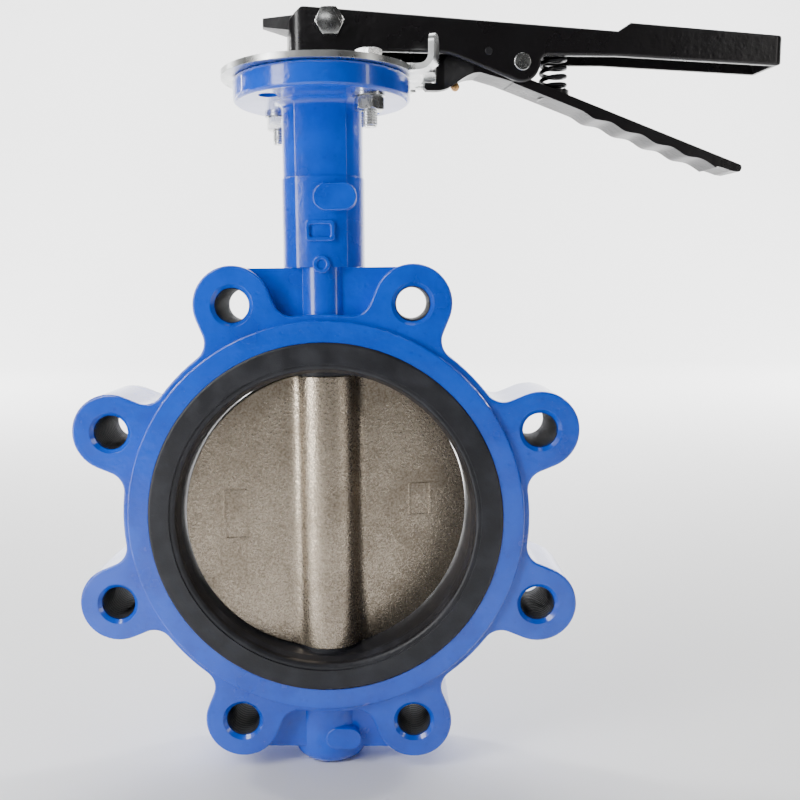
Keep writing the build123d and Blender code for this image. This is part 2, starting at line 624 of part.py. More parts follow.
# ---- lever ---------------------------------------------------------------------------------------------
def lever_side():
    """The lever seen from the side: hub, arm, the cheeks round the trigger's pivot, and the grip."""
    step_x = GRIP_START + GRIP_STEP
    grip_top = arm_top(step_x) + GRIP_RISE
    end_top = grip_top - (GRIP_END - step_x) * tan(radians(LEVER_DROOP_DEG))
    side = make_face(Polyline(
        (HUB_LEFT, LEVER_BOTTOM), (HUB_RIGHT, LEVER_BOTTOM), (HUB_RIGHT, ARM_BOTTOM),
        (PIVOT_X, ARM_BOTTOM), (GRIP_START, GRIP_BOTTOM_START), (GRIP_END, GRIP_BOTTOM_END),
        (GRIP_END, end_top), (step_x, grip_top), (GRIP_START, arm_top(GRIP_START)),
        (HUB_LEFT + HUB_TOP_CUT, arm_top(0)),
        (HUB_LEFT, LEVER_TOP - HUB_TOP_CUT), close=True))
    run, rise = CHEEK_START - PIVOT_X, ARM_BOTTOM - PIVOT_Z
    touch = atan2(rise, run) + acos(CHEEK_RADIUS / hypot(run, rise))
    foot = (PIVOT_X + CHEEK_RADIUS * cos(touch), PIVOT_Z + CHEEK_RADIUS * sin(touch))
    inside = ARM_BOTTOM + 1
    cheek = make_face(Polyline((CHEEK_START, ARM_BOTTOM), foot, (PIVOT_X, PIVOT_Z), (PIVOT_X, inside),
                               (CHEEK_START, inside), close=True))
    side += cheek + Pos(PIVOT_X, PIVOT_Z) * Circle(CHEEK_RADIUS)
    start = [v for v in side.vertices() if hypot(v.X - CHEEK_START, v.Y - ARM_BOTTOM) < 1]
    side = fillet(start, CHEEK_BLEND)
    after = [v for v in side.vertices()
             if PIVOT_X + 1 < v.X < PIVOT_X + 1.3 * CHEEK_RADIUS and v.Y < ARM_BOTTOM + 2]
    side = fillet(after, CHEEK_END_BLEND)
    ends = [v for v in side.vertices() if v.X > GRIP_END - 0.1]
    side = fillet(ends, GRIP_END_CORNER)
    corners = [v for v in side.vertices() if v.X < HUB_RIGHT + 0.1 and v.Y > ARM_BOTTOM - 0.1]
    return fillet(corners, HUB_SIDE_CORNER)


def lever_plan():
    """The lever seen from above: a bar with rounded corners."""
    bar = Pos((GRIP_END + HUB_LEFT) / 2, 0) * Rectangle(GRIP_END - HUB_LEFT, LEVER_WIDTH)
    bar = fillet([v for v in bar.vertices() if v.X < 0], HUB_CORNER)
    return fillet([v for v in bar.vertices() if v.X > GRIP_END - 0.1], GRIP_PLAN_CORNER)


def pointer():
    """The wedge on the back of the hub that shows which way the lever points."""
    root = HUB_LEFT + 3
    tip_top = POINTER_TOP - POINTER_TIP_DROP
    side = make_face(Polyline(
        (root, POINTER_TOP), (POINTER_TIP, tip_top), (POINTER_TIP, tip_top - POINTER_TIP_THICKNESS),
        (root, POINTER_TOP - POINTER_THICKNESS), close=True))
    plan = make_face(Polyline(
        (root, -POINTER_HALF_WIDTH), (root, POINTER_HALF_WIDTH), (POINTER_TIP, POINTER_TIP_HALF_WIDTH),
        (POINTER_TIP, -POINTER_TIP_HALF_WIDTH), close=True))
    return side_profile(side, LEVER_WIDTH) & extrude(plan, LEVER_TOP)


def lever():
    """The cast lever: a solid hub on the stem's square and an arm that is a channel open below."""
    blank = side_profile(lever_side(), LEVER_WIDTH)
    rims = [e for e in blank.edges() if abs(abs(e.center().Y) - LEVER_WIDTH / 2) < 0.01]
    blank = fillet(rims, LEVER_EDGE_FILLET) & extrude(lever_plan(), LEVER_TOP)
    blank += pointer()
    roof_start = arm_top(CHANNEL_START) - LEVER_ROOF
    roof_end = arm_top(CHANNEL_END) - LEVER_ROOF
    below = LEVER_BOTTOM - CHEEK_RADIUS
    hollow = make_face(Polyline(
        (CHANNEL_START, below), (CHANNEL_END, below), (CHANNEL_END, roof_end), (CHANNEL_START, roof_start),
        close=True))
    roof_corners = [v for v in hollow.vertices() if v.Y > below + 1]
    blank -= side_profile(fillet(roof_corners, CHANNEL_CORNER), LEVER_WIDTH - 2 * LEVER_WALL)
    side = SQUARE + 2 * SQUARE_FIT
    blank -= Pos(0, 0, (LEVER_BOTTOM + LEVER_TOP) / 2) * Box(side, side, LEVER_TOP - LEVER_BOTTOM + 4)
    blank -= Pos(SET_BOLT_X, -LEVER_WIDTH / 2, SET_BOLT_Z) * about_pipe(Cylinder(M8_RADIUS, LEVER_WIDTH))
    blank -= Pos(PIVOT_X, 0, PIVOT_Z) * about_pipe(Cylinder(PIN_RADIUS, LEVER_WIDTH + 1))
    blank -= Pos(STOP_PIN_X, 0, STOP_PIN_Z) * about_pipe(Cylinder(STOP_PIN_RADIUS, LEVER_WIDTH + 1))
    return lever_frame(blank)


def set_bolt():
    """The hexagon bolt through the front of the hub that locks the lever on the stem's square."""
    length = (LEVER_WIDTH - SQUARE) / 2
    shank = Pos(0, 0, -length / 2) * Cylinder(M8_RADIUS, length)
    bolt = shank + Rot(0, 0, 5) * hexagon(M8_HEAD)
    return lever_frame(Pos(SET_BOLT_X, -LEVER_WIDTH / 2, SET_BOLT_Z) * about_pipe(bolt))


def pivot_pin():
    """The trigger's pin: a rounded head flush with the near cheek and a grooved tail past the far one."""
    length = LEVER_WIDTH + PIN_PROUD + PIN_TAIL
    pin = Cylinder(PIN_RADIUS, length)
    pin = fillet(pin.edges().filter_by(GeomType.CIRCLE), 0.5)
    pin = Pos(0, 0, (PIN_PROUD - PIN_TAIL) / 2) * pin
    low = -LEVER_WIDTH / 2 - CLIP_THICKNESS - 0.2
    pin -= Pos(0, 0, low + CLIP_THICKNESS / 2) * (
        Cylinder(PIN_RADIUS + 1, CLIP_THICKNESS) - Cylinder(PIN_RADIUS - 0.7, CLIP_THICKNESS))
    return lever_frame(Pos(PIVOT_X, 0, PIVOT_Z) * about_pipe(pin))


def pin_clip():
    """The spring clip in the pin's groove."""
    low = -LEVER_WIDTH / 2 - CLIP_THICKNESS - 0.2
    clip = Cylinder(CLIP_RADIUS, CLIP_THICKNESS) - Cylinder(PIN_RADIUS - 0.65, CLIP_THICKNESS)
    clip -= Pos(CLIP_RADIUS, 0, 0) * Box(2 * CLIP_RADIUS, 4.4, 4)
    placed = Pos(0, 0, low + CLIP_THICKNESS / 2) * clip
    return lever_frame(Pos(PIVOT_X, 0, PIVOT_Z) * about_pipe(placed))


def stop_pin():
    """The small pin through both cheeks that stops the trigger's nose rising too far."""
    pin = Cylinder(STOP_PIN_RADIUS, LEVER_WIDTH + 2 * STOP_PIN_PROUD)
    pin = fillet(pin.edges().filter_by(GeomType.CIRCLE), STOP_PIN_PROUD)
    return lever_frame(Pos(STOP_PIN_X, 0, STOP_PIN_Z) * about_pipe(pin))


# ---- trigger -------------------------------------------------------------------------------------------
def handle_outline():
    """The trigger's handle along X from the pivot: a straight top and a finger-scalloped underside."""
    top = -HANDLE_TOP_OFFSET
    shallow = top - HANDLE_THICKNESS + SCALLOP_HEIGHT
    deep = top - HANDLE_THICKNESS - SCALLOP_HEIGHT
    end = HANDLE_LENGTH
    waves = [(SCALLOP_START - SCALLOP_PITCH / 2, shallow)]
    for i in range(2 * SCALLOP_COUNT):
        waves.append((SCALLOP_START + i * SCALLOP_PITCH / 2, shallow if i % 2 else deep))
    underside = Spline(waves, tangents=[(1, 0), (1, 0)])
    closing = Polyline(underside @ 1, (end, shallow + 1), (end, top), (0, top), (0, shallow), underside @ 0)
    outline = make_face([underside, closing])
    tips = [v for v in outline.vertices() if v.X > end - 0.1]
    return fillet(tips, HANDLE_TIP_FILLET)


def nose_outline():
    """The trigger's nose, in X and Z: an arched arm that ends in a step under the plate's rim."""
    tip_top = FLANGE_TOP - NOSE_TOP_GAP
    halfway = ((NOSE_STEP + NOSE_ARCH_X) / 2, (NOSE_BOTTOM + NOSE_ARCH_Z) / 2)
    arch = Spline([(NOSE_STEP, NOSE_BOTTOM), halfway, (NOSE_ARCH_X, NOSE_ARCH_Z)], tangents=[(1, 0), (1, 0)])
    over = Polyline(
        (NOSE_ARCH_X, NOSE_ARCH_Z), (PIVOT_X, PIVOT_Z - NOSE_ROOT_DROP), (PIVOT_X, PIVOT_Z),
        (NOSE_ARCH_X + 3, NOSE_ARCH_TOP), (NOSE_HUMP_END, NOSE_HUMP_TOP), (NOSE_HUMP_START, NOSE_HUMP_TOP),
        (NOSE_STEP, NOSE_BACK_TOP), (NOSE_STEP, tip_top),
        (NOSE_END, tip_top), (NOSE_END, NOSE_BOTTOM + 1.2), (NOSE_END + 1.2, NOSE_BOTTOM), arch @ 0)
    return make_face([arch, over])


def rivet_shape():
    """The round-headed rivet up through the nose."""
    head_z = (NOSE_BOTTOM + NOSE_ARCH_Z) / 2 - RIVET_HEAD_DROP
    shank = Pos(RIVET_X, 0, head_z + RIVET_LENGTH / 2) * Cylinder(RIVET_SHANK, RIVET_LENGTH)
    return shank + Pos(RIVET_X, 0, head_z) * Sphere(RIVET_RADIUS)


def pawl_rivet():
    """The brass rivet that holds the hardened pawl tip to the trigger's nose."""
    return lever_frame(rivet_shape())


def trigger():
    """The squeeze trigger, with a narrow pawl at its nose that rises into the plate's notches."""
    slope = Rot(0, 0, -TRIGGER_SLOPE_DEG)
    side = Pos(PIVOT_X, PIVOT_Z) * (slope * handle_outline() + Circle(TRIGGER_BOSS)) + nose_outline()
    width = LEVER_WIDTH - 2 * LEVER_WALL - 2 * TRIGGER_SIDE_GAP
    blank = side_profile(side, width)
    half, thin = width / 2, PAWL_WIDTH / 2
    far = PIVOT_X + HANDLE_LENGTH
    plan = make_face(Polyline(
        (NOSE_END - 1, -thin), (PAWL_FLARE_START, -thin), (PAWL_FLARE_END, -half), (far, -half), (far, half),
        (PAWL_FLARE_END, half), (PAWL_FLARE_START, thin), (NOSE_END - 1, thin), close=True))
    blank &= extrude(plan, LEVER_TOP)
    spring_seat = rod(SPRING_SEAT_RADIUS, SPRING_SEAT_Z - SPRING_SEAT_RISE - SPRING_SEAT_ROOT, SPRING_SEAT_Z)
    blank += Pos(SPRING_X, 0, 0) * spring_seat
    blank -= Pos(PIVOT_X, 0, PIVOT_Z) * about_pipe(Cylinder(PIN_RADIUS + PIN_FIT, width))
    blank -= rivet_shape()
    return lever_frame(blank)


def return_spring():
    """The compression spring between the trigger and the roof of the lever's channel."""
    roof = arm_top(SPRING_X + SPRING_MEAN_RADIUS) - LEVER_ROOF - 0.3
    low = SPRING_SEAT_Z + 0.05 + SPRING_WIRE_RADIUS
    height = roof - low - SPRING_WIRE_RADIUS
    path = Helix(pitch=SPRING_PITCH, height=height, radius=SPRING_MEAN_RADIUS)
    start = Plane(origin=path @ 0, z_dir=path % 0)
    coil = sweep(start * Circle(SPRING_WIRE_RADIUS), path=path)
    return lever_frame(Pos(SPRING_X, 0, low) * coil)


def nodes():
    """Every sub-part by name, each one a solid or a group of alike solids."""
    return {
        "body": body(),
        "seat_liner": seat(),
        "disc": disc(),
        "upper_stem": upper_stem(),
        "lower_stem": lower_stem(),
        "lower_stem_bush": bush(LOWER_BUSH_END, -BUSH_START),
        "seat_end_bush": bush(BUSH_START, BUSH_START + BUSH_LENGTH),
        "middle_stem_bush": bush(MIDDLE_BUSH_LOW, MIDDLE_BUSH_LOW + BUSH_LENGTH),
        "top_stem_bush": bush(UPPER_BUSH_TOP - BUSH_LENGTH, UPPER_BUSH_TOP),
        "stem_seals": stem_seals(),
        "stem_thrust_washer": tube(HOUSING_RADIUS - 0.1, STEM_RADIUS + STEM_CLEARANCE,
                                   UPPER_BUSH_TOP, UPPER_BUSH_TOP + THRUST_WASHER),
        "stem_circlip": circlip(),
        "lower_thrust_pad": rod(HOUSING_RADIUS - 0.1, LOWER_BORE_END, LOWER_BORE_END + THRUST_PAD),
        "dust_seal": tube(DUST_SEAL_RADIUS, STEM_RADIUS + STEM_FIT,
                          FLANGE_TOP - DUST_SEAL_HEIGHT, FLANGE_TOP),
        "notch_plate": notch_plate(),
        "plate_bolts": plate_bolts(),
        "plate_washers": plate_washers(),
        "plate_nuts": plate_nuts(),
        "lever": lever(),
        "set_bolt": set_bolt(),
        "trigger": trigger(),
        "pivot_pin": pivot_pin(),
        "pin_clip": pin_clip(),
        "stop_pin": stop_pin(),
        "return_spring": return_spring(),
        "pawl_rivet": pawl_rivet(),
    }


os.makedirs("parts", exist_ok=True)
for name, shape in nodes().items():
    solids = Compound(children=shape) if isinstance(shape, list) else shape
    export_step(solids, f"parts/{name}.step")
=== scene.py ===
"""The looks of a lug butterfly valve: its finishes, fine screw threads, hexagons, spring and the studio.

The frame is the valve's own: metres, +Z up the stem, the pipe along Y and the lever side facing -Y.
"""

from __future__ import annotations

import json
import logging
import math
from collections.abc import Callable, Iterable, Mapping, Sequence
from dataclasses import dataclass
from enum import Enum
from typing import Any

import bpy
import numpy as np
from mathutils import Matrix, Vector

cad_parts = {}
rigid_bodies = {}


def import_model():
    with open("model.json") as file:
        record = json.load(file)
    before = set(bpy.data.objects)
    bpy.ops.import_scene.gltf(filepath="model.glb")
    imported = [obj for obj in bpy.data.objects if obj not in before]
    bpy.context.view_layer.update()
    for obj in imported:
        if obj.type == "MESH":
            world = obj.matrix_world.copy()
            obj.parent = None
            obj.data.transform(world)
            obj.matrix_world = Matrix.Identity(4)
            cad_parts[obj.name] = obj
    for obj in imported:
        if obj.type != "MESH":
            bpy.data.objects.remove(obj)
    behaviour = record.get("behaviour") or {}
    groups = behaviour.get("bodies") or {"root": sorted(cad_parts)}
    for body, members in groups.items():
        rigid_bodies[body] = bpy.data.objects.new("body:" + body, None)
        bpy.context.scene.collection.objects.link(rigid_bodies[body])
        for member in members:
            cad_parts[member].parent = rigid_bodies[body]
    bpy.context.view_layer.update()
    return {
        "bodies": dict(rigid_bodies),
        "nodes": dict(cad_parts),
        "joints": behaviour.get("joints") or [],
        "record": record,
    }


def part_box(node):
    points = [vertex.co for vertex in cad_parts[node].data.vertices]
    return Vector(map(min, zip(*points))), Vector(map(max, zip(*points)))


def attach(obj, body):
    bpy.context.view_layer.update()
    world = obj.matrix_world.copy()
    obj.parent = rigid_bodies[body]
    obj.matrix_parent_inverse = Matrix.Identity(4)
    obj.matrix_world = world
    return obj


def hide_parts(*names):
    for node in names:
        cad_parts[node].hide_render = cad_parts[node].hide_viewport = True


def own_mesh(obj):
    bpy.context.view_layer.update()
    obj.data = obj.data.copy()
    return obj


LOG = logging.getLogger("valve")
MM = 0.001

Colour = tuple[float, float, float]
Point = tuple[float, float, float]
Operand = "Signal | float | Sequence[float]"


class Body(Enum):
    """The rigid groups of the valve that move as one."""

    VALVE = "valve_body"
    ROTOR = "stem_and_lever"
    TRIGGER = "trigger"


# ---- shader graphs -----------------------------------------------------------------------------------


class Signal:
    """One output of a shader graph, usable in Python expressions."""

    def __init__(self, graph: Graph, socket: bpy.types.NodeSocket) -> None:
        """Remembers the graph and the socket."""
        self.graph = graph
        self.socket = socket

    @property
    def wide(self) -> bool:
        """True for a vector or a colour, false for a plain number."""
        return self.socket.type in {"VECTOR", "RGBA"}

    def _combine(self, operation: str, other: Operand, swapped: bool = False) -> Signal:
        """Adds one Math or Vector Math node.

        Args:
            operation: name of the node's operation.
            other: the second operand.
            swapped: true when this signal is the right-hand side.

        Returns:
            The node's result.
        """
        wide = self.wide or (isinstance(other, Signal) and other.wide) or isinstance(other, (tuple, Vector))
        pair = (other, self) if swapped else (self, other)
        if not wide:
            return self.graph.node("ShaderNodeMath", {"operation": operation}, {0: pair[0], 1: pair[1]})
        pair = tuple((v, v, v) if isinstance(v, (int, float)) else v for v in pair)
        return self.graph.node("ShaderNodeVectorMath", {"operation": operation}, {0: pair[0], 1: pair[1]})

    def __add__(self, other: Operand) -> Signal:
        """Sum."""
        return self._combine("ADD", other)

    def __radd__(self, other: Operand) -> Signal:
        """Sum with the signal on the right."""
        return self._combine("ADD", other, swapped=True)

    def __sub__(self, other: Operand) -> Signal:
        """Difference."""
        return self._combine("SUBTRACT", other)

    def __rsub__(self, other: Operand) -> Signal:
        """Difference with the signal on the right."""
        return self._combine("SUBTRACT", other, swapped=True)

    def __mul__(self, other: Operand) -> Signal:
        """Product."""
        return self._combine("MULTIPLY", other)

    def __rmul__(self, other: Operand) -> Signal:
        """Product with the signal on the right."""
        return self._combine("MULTIPLY", other, swapped=True)

    def __truediv__(self, other: Operand) -> Signal:
        """Quotient."""
        return self._combine("DIVIDE", other)

    def __rtruediv__(self, other: Operand) -> Signal:
        """Quotient with the signal on the right."""
        return self._combine("DIVIDE", other, swapped=True)

    def __pow__(self, other: Operand) -> Signal:
        """Power of a plain number."""
        return self._combine("POWER", other)

    def __neg__(self) -> Signal:
        """The opposite value."""
        return self._combine("MULTIPLY", -1.0)

    def step(self, low: float, high: float) -> Signal:
        """Rises smoothly from 0 at low to 1 at high."""
        settings = {"interpolation_type": "SMOOTHSTEP", "clamp": True}
        return self.graph.node("ShaderNodeMapRange", settings, {0: self, 1: low, 2: high, 3: 0.0, 4: 1.0})


class Graph:
    """A material's node tree with short ways to fill it."""

    def __init__(self, name: str) -> None:
        """Makes an empty material."""
        self.material = bpy.data.materials.new(name)
        self.material.use_nodes = True
        self.tree = self.material.node_tree
        self.tree.nodes.clear()
        self._place: Signal | None = None

    def node(
        self,
        kind: str,
        settings: Mapping[str, Any] | None = None,
        inputs: Mapping[str | int, Any] | None = None,
        output: str | int = 0,
    ) -> Signal:
        """Adds any node.

        Args:
            kind: Blender's name for the node type.
            settings: node properties, set before the sockets.
            inputs: values or signals by socket name or number.
            output: which output to hand back.

        Returns:
            The chosen output.
        """
        made = self.tree.nodes.new(kind)
        for key, value in (settings or {}).items():
            setattr(made, key, value)
        for key, value in (inputs or {}).items():
            target = made.inputs[key]
            if isinstance(value, Signal):
                self.tree.links.new(value.socket, target)
            elif target.type == "RGBA" and len(value) == 3:
                target.default_value = (*value, 1.0)
            else:
                target.default_value = value
        return Signal(self, made.outputs[output])

    @property
    def place(self) -> Signal:
        """Where a point lies on the piece, in millimetres."""
        if self._place is None:
            self._place = self.node("ShaderNodeTexCoord", output="Object") * (1 / MM)
        return self._place

    def noise(self, size: float, detail: float = 3.0, at: Signal | None = None) -> Signal:
        """Cloudy noise from 0 to 1 whose blobs are about size millimetres."""
        inputs = {"Vector": at or self.place, "Scale": 1 / size, "Detail": detail, "Roughness": 0.55}
        return self.node("ShaderNodeTexNoise", {}, inputs)

    def cells(self, size: float, smooth: float = 0.6) -> Signal:
        """Distance from the middle of rounded cells about size millimetres wide."""
        settings = {"feature": "SMOOTH_F1"}
        inputs = {"Vector": self.place, "Scale": 1 / size, "Smoothness": smooth}
        return self.node("ShaderNodeTexVoronoi", settings, inputs, output="Distance")

    def parts_of(self, vector: Signal) -> tuple[Signal, Signal, Signal]:
        """A vector's three numbers."""
        first = self.node("ShaderNodeSeparateXYZ", {}, {0: vector})
        outputs = first.socket.node.outputs
        return tuple(Signal(self, outputs[i]) for i in range(3))

    def blend(self, low: Operand, high: Operand, share: Operand) -> Signal:
        """A colour between two colours."""
        settings = {"data_type": "RGBA", "blend_type": "MIX"}
        return self.node("ShaderNodeMix", settings, {0: share, 6: low, 7: high}, output=2)

    def bump(self, height: Signal, depth: float, edge: float = 0.0) -> Signal:
        """A surface normal for a height from 0 to 1.

        Args:
            height: the relief.
            depth: how deep the relief is, in millimetres.
            edge: radius in millimetres by which sharp edges look rounded.

        Returns:
            The tilted normal.
        """
        inputs: dict[str | int, Any] = {"Height": height, "Distance": depth * MM, "Strength": 1.0}
        if edge:
            inputs["Normal"] = self.node("ShaderNodeBevel", {"samples": 4}, {"Radius": edge * MM})
        return self.node("ShaderNodeBump", {}, inputs, output="Normal")

    def surface(self, **inputs: Any) -> bpy.types.Material:
        """Finishes the material with one principled shader.

        Args:
            inputs: socket values by name, with _ for a space.

        Returns:
            The finished material.
        """
        named = {key.replace("_", " "): value for key, value in inputs.items()}
        shader = self.node("ShaderNodeBsdfPrincipled", {}, named)
        self.node_output(shader)
        return self.material

    def node_output(self, shader: Signal) -> None:
        """Links a shader to the material's output."""
        target = self.tree.nodes.new("ShaderNodeOutputMaterial")
        self.tree.links.new(shader.socket, target.inputs["Surface"])


# ---- finishes ----------------------------------------------------------------------------------------


@dataclass(frozen=True)
class Finish:
    """A material that can be made once and put on many pieces."""

    name: str

    def shade(self, graph: Graph) -> bpy.types.Material:
        """Fills the graph; each finish has its own."""
        raise NotImplementedError

    def material(self) -> bpy.types.Material:
        """The material, made on first use, under a name that no CAD material has."""
        return bpy.data.materials.get(self.label) or self.shade(Graph(self.label))

    @property
    def label(self) -> str:
        """The material's name in Blender."""
        return f"{self.name}_finish"


@dataclass(frozen=True)
class CastEnamel(Finish):
    """Thick gloss paint over a sand casting, with orange peel and soft lumps."""

    colour: Colour
    deep: Colour
    roughness: float = 0.22
    grain: float = 0.16
    lump: float = 0.5
    coat: float = 0.6

    def shade(self, graph: Graph) -> bpy.types.Material:
        """Paint pools in the hollows of the casting and thins on its bumps."""
        lumps = graph.noise(9.0, 2.0)
        grains = graph.noise(1.9, 4.0)
        pits = 1.0 - graph.cells(5.5, 0.3).step(0.06, 0.24)
        height = lumps * self.lump + grains * self.grain - pits * 0.12
        pooled = graph.noise(26.0, 4.0).step(0.35, 0.68)
        tint = graph.blend(self.colour, self.deep, pooled * 0.55 + pits * 0.2)
        dust = graph.noise(0.7, 5.0).step(0.66, 0.82)
        colour = graph.blend(tint, (0.5, 0.55, 0.62), dust * 0.06)
        rough = self.roughness + pooled * 0.08 + dust * 0.2
        return graph.surface(
            Base_Color=colour,
            Roughness=rough,
            Normal=graph.bump(height, 0.42, edge=0.7),
            Coat_Weight=self.coat,
            Coat_Roughness=0.05,
            IOR=1.5,
        )


@dataclass(frozen=True)
class MouldedRubber(Finish):
    """Dull moulded rubber with a fine bloom and faint flow lines."""

    colour: Colour
    bloom: Colour
    roughness: float = 0.42

    def shade(self, graph: Graph) -> bpy.types.Material:
        """A grey bloom lies in broad patches over a fine grain."""
        bloom = graph.noise(14.0, 5.0).step(0.38, 0.72)
        grain = graph.noise(0.9, 4.0)
        flow = graph.noise(5.0, 2.0)
        scuffs = graph.noise(2.4, 6.0).step(0.6, 0.78)
        colour = graph.blend(self.colour, self.bloom, bloom * 0.6 + scuffs * 0.25)
        return graph.surface(
            Base_Color=colour,
            Roughness=self.roughness + bloom * 0.14 + grain * 0.08,
            Normal=graph.bump(grain * 0.4 + flow * 0.6, 0.16, edge=0.5),
            IOR=1.5,
        )


@dataclass(frozen=True)
class PlatedCasting(Finish):
    """Bright plating over a pebbly iron casting."""

    bright: Colour
    dull: Colour

    def shade(self, graph: Graph) -> bpy.types.Material:
        """Pebbles and fine grain with brown staining in broad patches, and painted shade darkening the low
        spots.
        """
        pebbles = graph.cells(1.5, 0.7)
        grains = graph.noise(0.9, 4.0)
        waves = graph.noise(11.0, 3.0)
        stain = graph.noise(24.0, 4.0).step(0.36, 0.72)
        # painted shade: the colour darkens in the low spots of the grain and between the pebbles (low and
        # dips); stain is real staining
        low = grains.step(0.56, 0.4)
        painted_shade_dips = pebbles.step(0.3, 0.75)
        colour = graph.blend(self.bright, self.dull, stain * 0.3 + low * 0.3 + painted_shade_dips * 0.2)
        height = grains - pebbles * 0.7 + waves
        return graph.surface(
            Base_Color=colour,
            Metallic=0.94,
            Roughness=0.24 + stain * 0.05 + low * 0.16,
            Normal=graph.bump(height, 0.13, edge=0.5),
        )


@dataclass(frozen=True)
class ZincPlate(Finish):
    """Zinc-plated steel with a passivated sheen, rolling marks and fine scratches."""

    colour: Colour
    tarnish: Colour
    roughness: float = 0.26
    blotch: float = 8.0

    def shade(self, graph: Graph) -> bpy.types.Material:
        """Blotches of passivation over faint crossing scratches."""
        blotches = graph.noise(self.blotch, 5.0).step(0.3, 0.75)
        grain = graph.noise(0.5, 3.0)
        lines = graph.noise(0.35, 2.0, at=graph.place * (0.06, 1.0, 1.0))
        scratches = graph.noise(0.5, 4.0, at=graph.place * (1.0, 0.05, 0.4)).step(0.62, 0.72)
        colour = graph.blend(self.colour, self.tarnish, blotches * 0.5 + scratches * 0.2)
        return graph.surface(
            Base_Color=colour,
            Metallic=1.0,
            Roughness=self.roughness + blotches * 0.12 + scratches * 0.12,
            Normal=graph.bump(grain * 0.4 + lines * 0.4 - scratches * 0.4, 0.035, edge=0.35),
        )


@dataclass(frozen=True)
class TurnedSteel(Finish):
    """A shaft turned in a lathe: fine rings about the stem and light smears."""

    colour: Colour
    roughness: float = 0.24

    def shade(self, graph: Graph) -> bpy.types.Material:
        """Rings at two pitches, broken up along the way round."""
        rings = graph.noise(0.18, 2.0, at=graph.place * (0.02, 0.02, 1.0))
        smear = graph.noise(6.0, 4.0)
        colour = graph.blend(self.colour, tuple(0.7 * c for c in self.colour), smear.step(0.4, 0.8) * 0.6)
        return graph.surface(
            Base_Color=colour,
            Metallic=1.0,
            Roughness=self.roughness + smear * 0.12,
            Normal=graph.bump(rings, 0.02, edge=0.3),
        )


@dataclass(frozen=True)
class PlainPlastic(Finish):
    """Machined bearing plastic with tool marks."""

    colour: Colour

    def shade(self, graph: Graph) -> bpy.types.Material:
        """Fine turning marks and slight yellowing."""
        marks = graph.noise(0.3, 2.0, at=graph.place * (0.05, 0.05, 1.0))
        age = graph.noise(7.0, 4.0).step(0.4, 0.8)
        colour = graph.blend(self.colour, tuple(c * s for c, s in zip(self.colour, (0.9, 0.82, 0.68))), age)
        return graph.surface(
            Base_Color=colour,
            Roughness=0.46 + marks * 0.1,
            Normal=graph.bump(marks, 0.03, edge=0.3),
            Subsurface_Weight=0.05,
        )


@dataclass(frozen=True)
class DarkSteel(Finish):
    """Oiled or phosphated steel, almost black, with bright rubbed spots."""

    colour: Colour
    rubbed: Colour
    roughness: float = 0.36

    def shade(self, graph: Graph) -> bpy.types.Material:
        """Rubbed metal shows where the black coat has worn."""
        coat = graph.noise(1.1, 5.0)
        worn = graph.noise(3.2, 6.0).step(0.62, 0.8)
        return graph.surface(
            Base_Color=graph.blend(self.colour, self.rubbed, worn * 0.55),
            Metallic=0.85,
            Roughness=self.roughness + coat * 0.16,
            Normal=graph.bump(coat, 0.03, edge=0.25),
        )


@dataclass(frozen=True)
class CutThread(Finish):
    """The oily dark iron of a tapped hole, with paint mist at its mouths."""

    iron: Colour
    mist: Colour
    mouth_y: float

    def shade(self, graph: Graph) -> bpy.types.Material:
        """Paint fades away from both faces of the lug."""
        _, along, _ = graph.parts_of(graph.place)
        depth = graph.node("ShaderNodeMath", {"operation": "ABSOLUTE"}, {0: along})
        patch = graph.noise(3.0, 5.0)
        painted = (depth + patch * 9.0).step(self.mouth_y + 0.5, self.mouth_y + 4.0)
        oil = graph.noise(1.2, 4.0)
        return graph.surface(
            Base_Color=graph.blend(self.iron, self.mist, painted * 0.85),
            Metallic=0.55,
            Roughness=0.34 + oil * 0.22,
            Normal=graph.bump(oil, 0.08),
        )


@dataclass(frozen=True)
class StudioPaper(Finish):
    """A pale seamless paper sweep with a barely visible tooth."""

    colour: Colour

    def shade(self, graph: Graph) -> bpy.types.Material:
        """Fibre grain and a very soft unevenness."""
        fibre = graph.noise(1.4, 4.0)
        cloud = graph.noise(320.0, 2.0)
        colour = graph.blend(self.colour, tuple(0.97 * c for c in self.colour), cloud)
        return graph.surface(Base_Color=colour, Roughness=0.8 + fibre * 0.1, Normal=graph.bump(fibre, 0.05))


BLUE = CastEnamel("blue_enamel", (0.001, 0.088, 0.7), (0.001, 0.045, 0.44), 0.2, 0.22, 0.8, 0.8)
BLACK = CastEnamel("black_enamel", (0.008, 0.007, 0.008), (0.004, 0.0035, 0.005), 0.27, 0.24, 0.6, 0.15)
RUBBER = MouldedRubber("seat_rubber", (0.009, 0.0095, 0.013), (0.03, 0.031, 0.04), 0.36)
SEAL = MouldedRubber("seal_rubber", (0.012, 0.012, 0.013), (0.03, 0.03, 0.032), 0.5)
PLATED = PlatedCasting("plated_iron", (0.55, 0.47, 0.37), (0.17, 0.13, 0.09))
ZINC = ZincPlate("zinc_sheet", (0.78, 0.79, 0.78), (0.55, 0.56, 0.56))
FASTENER = ZincPlate("zinc_fastener", (0.74, 0.75, 0.75), (0.5, 0.5, 0.49), 0.2, 4.0)
STAINLESS = TurnedSteel("stainless", (0.62, 0.61, 0.59))
ACETAL = PlainPlastic("bush_plastic", (0.78, 0.76, 0.69))
SPRING_CLIP = DarkSteel("spring_steel", (0.06, 0.06, 0.065), (0.4, 0.4, 0.4))
SPRING_WIRE = DarkSteel("black_spring", (0.016, 0.016, 0.018), (0.2, 0.19, 0.18), 0.26)
BRASS = ZincPlate("brass", (0.78, 0.47, 0.2), (0.5, 0.27, 0.12), 0.3, 2.0)
THREAD = CutThread("cut_thread", (0.05, 0.05, 0.055), (0.004, 0.06, 0.36), 24.0)
PAPER = StudioPaper("studio_paper", (0.86, 0.86, 0.86))

